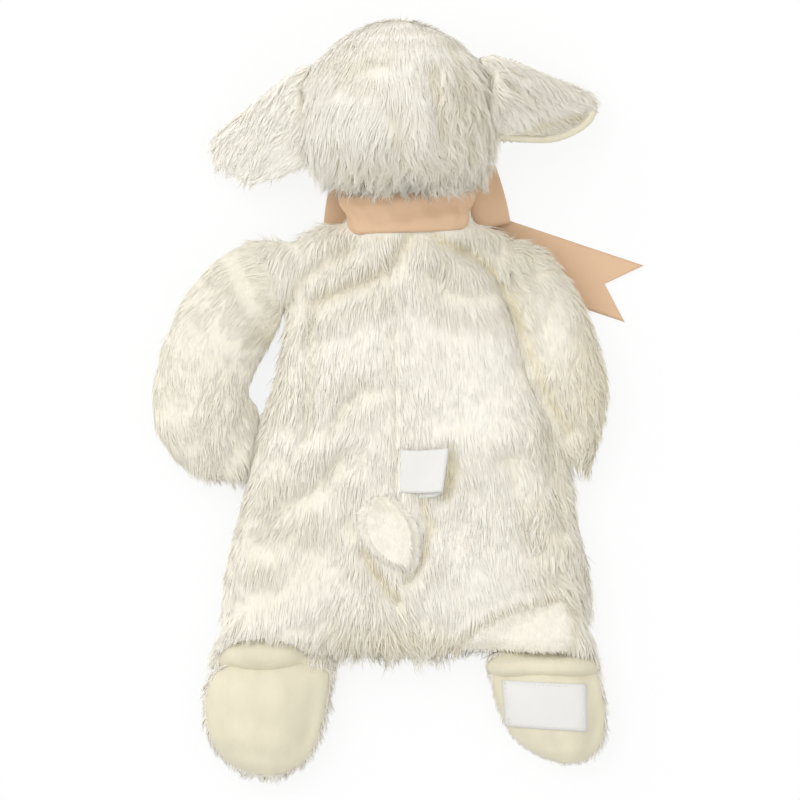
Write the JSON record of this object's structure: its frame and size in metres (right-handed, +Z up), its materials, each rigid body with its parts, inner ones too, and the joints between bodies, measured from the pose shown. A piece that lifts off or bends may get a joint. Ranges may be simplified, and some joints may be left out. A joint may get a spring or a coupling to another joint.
{
  "type": "lamb comfort blanket",
  "caption": "Flat plush lamb comforter lying face down: stuffed head, floppy ears, folding arms and feet, short tail, folded care label and a ribbon bow round the neck.",
  "frame": {"origin": "on the floor, under the middle of the whole toy as it lies face down", "axes": "+Z up from the floor, +Y towards the crown of the head, +X towards the toy's own right side"},
  "size_m": [0.1978, 0.3024, 0.0579],
  "materials": {
    "plush": "long cream-white pile, combed downwards",
    "velour": "short smooth cream nap",
    "filling": "loose polyester fibre",
    "ribbon": "peach woven ribbon with a dull sheen",
    "label": "white woven tape, bare",
    "thread": "brown embroidery thread"
  },
  "bodies": {
    "torso": {"body_back_left_plush": "plush", "body_back_right_plush": "plush", "body_front_plush": "plush", "body_filling": "filling", "leg_left_cuff": "velour", "leg_left_plush": "plush", "leg_right_cuff": "velour", "leg_right_plush": "plush", "neck_ribbon": "ribbon", "bow_knot": "ribbon", "bow_loop_left": "ribbon", "bow_loop_right": "ribbon"},
    "head": {"head_back_plush": "plush", "head_face_velour": "velour", "head_filling": "filling", "eye_left_embroidery": "thread", "eye_right_embroidery": "thread", "nose_embroidery": "thread", "mouth_embroidery": "thread"},
    "ear_left": {"ear_left_plush": "plush", "ear_left_lining": "velour"},
    "ear_right": {"ear_right_plush": "plush", "ear_right_lining": "velour"},
    "arm_left": {"arm_left_back_plush": "plush", "arm_left_front_plush": "plush", "arm_left_filling": "filling"},
    "arm_right": {"arm_right_back_plush": "plush", "arm_right_front_plush": "plush", "arm_right_filling": "filling"},
    "foot_left": {"foot_left_sole": "velour", "foot_left_plush": "plush", "foot_left_filling": "filling"},
    "foot_right": {"foot_right_sole": "velour", "foot_right_plush": "plush", "foot_right_filling": "filling", "foot_label": "label"},
    "tail": {"tail_plush": "plush", "tail_panel": "velour"},
    "care_label": {"care_label": "label"},
    "ribbon_end_left": {"ribbon_end_left": "ribbon"},
    "ribbon_end_right": {"ribbon_end_right": "ribbon"}
  },
  "joints": [
    {"name": "head_nod", "type": "hinge", "parent": "torso", "child": "head", "pos_m": [0.00505, 0.08215, 0.0245], "axis": [1, 0, 0], "range_deg": [0, 60]},
    {"name": "ear_left_flap", "type": "hinge", "parent": "head", "child": "ear_left", "pos_m": [-0.0392, 0.112, 0.0336], "axis": [0, 1, 0], "range_deg": [0, 75]},
    {"name": "ear_right_flap", "type": "hinge", "parent": "head", "child": "ear_right", "pos_m": [0.0392, 0.119, 0.0352], "axis": [0, -1, 0], "range_deg": [0, 75]},
    {"name": "arm_left_lift", "type": "hinge", "parent": "torso", "child": "arm_left", "pos_m": [-0.05159, 0.0502, 0.0196], "axis": [-0.3661, 0.9306, 0], "range_deg": [0, 90]},
    {"name": "arm_right_lift", "type": "hinge", "parent": "torso", "child": "arm_right", "pos_m": [0.04991, 0.0539, 0.0184], "axis": [-0.6951, -0.719, 0], "range_deg": [0, 90]},
    {"name": "foot_left_fold", "type": "hinge", "parent": "torso", "child": "foot_left", "pos_m": [-0.04995, -0.10845, 0.0173], "axis": [-1, 0, 0], "range_deg": [0, 120]},
    {"name": "foot_right_fold", "type": "hinge", "parent": "torso", "child": "foot_right", "pos_m": [0.0587, -0.10845, 0.0173], "axis": [-1, 0, 0], "range_deg": [0, 120]},
    {"name": "tail_flip", "type": "hinge", "parent": "torso", "child": "tail", "pos_m": [-0.00495, -0.0382, 0.0254], "axis": [-1, 0, 0], "range_deg": [0, 80]},
    {"name": "care_label_flip", "type": "hinge", "parent": "torso", "child": "care_label", "pos_m": [-0.0004, -0.0279, 0.0237], "axis": [0, -1, 0], "range_deg": [0, 150]},
    {"name": "ribbon_end_left_swing", "type": "hinge", "parent": "torso", "child": "ribbon_end_left", "pos_m": [0.00505, 0.0728, 0.00035], "axis": [0, 0, 1], "range_deg": [0, 25]},
    {"name": "ribbon_end_right_swing", "type": "hinge", "parent": "torso", "child": "ribbon_end_right", "pos_m": [0.00505, 0.0728, 0.00035], "axis": [0, 0, 1], "range_deg": [-20, 40]}
  ]
}
